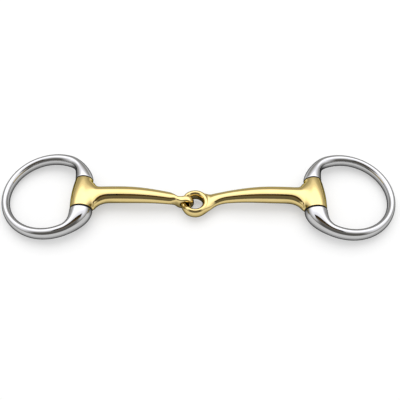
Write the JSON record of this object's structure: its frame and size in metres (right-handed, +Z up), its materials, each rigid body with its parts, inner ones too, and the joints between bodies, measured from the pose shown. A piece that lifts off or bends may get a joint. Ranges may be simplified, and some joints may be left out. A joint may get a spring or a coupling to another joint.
{
  "type": "snaffle bit",
  "caption": "Single-jointed eggbutt snaffle bit with arched brass-toned cannons, egg-shaped barrels and D-shaped steel cheek rings that swing on hidden pins.",
  "frame": {"origin": "centre of the bit's footprint, on the table it lies on", "axes": "+X across the mouth towards the right cheek ring, +Y along the barrels, +Z up from the table"},
  "size_m": [0.2606, 0.0662, 0.0151],
  "materials": {
    "mouthpiece_alloy": "polished",
    "ring_steel": "polished stainless steel",
    "pin_steel": "ground"
  },
  "bodies": {
    "left_arm": {"left_cannon": "mouthpiece_alloy"},
    "right_arm": {"right_cannon": "mouthpiece_alloy"},
    "left_cheek": {"left_ring": "ring_steel", "left_hinge_pin": "pin_steel"},
    "right_cheek": {"right_ring": "ring_steel", "right_hinge_pin": "pin_steel"}
  },
  "joints": [
    {"name": "centre_fold", "type": "hinge", "parent": "left_arm", "child": "right_arm", "pos_m": [-0.0084, -0.0048, 0.0055], "axis": [0, -1, 0], "range_deg": [-110, 110]},
    {"name": "left_ring_swing", "type": "hinge", "parent": "left_arm", "child": "left_cheek", "pos_m": [-0.07625, 0.0004, 0.0076], "axis": [0, 1, 0], "range_deg": [-165, 165]},
    {"name": "right_ring_swing", "type": "hinge", "parent": "right_arm", "child": "right_cheek", "pos_m": [0.07625, -0.0004, 0.0076], "axis": [0, -1, 0], "range_deg": [-165, 165]}
  ]
}
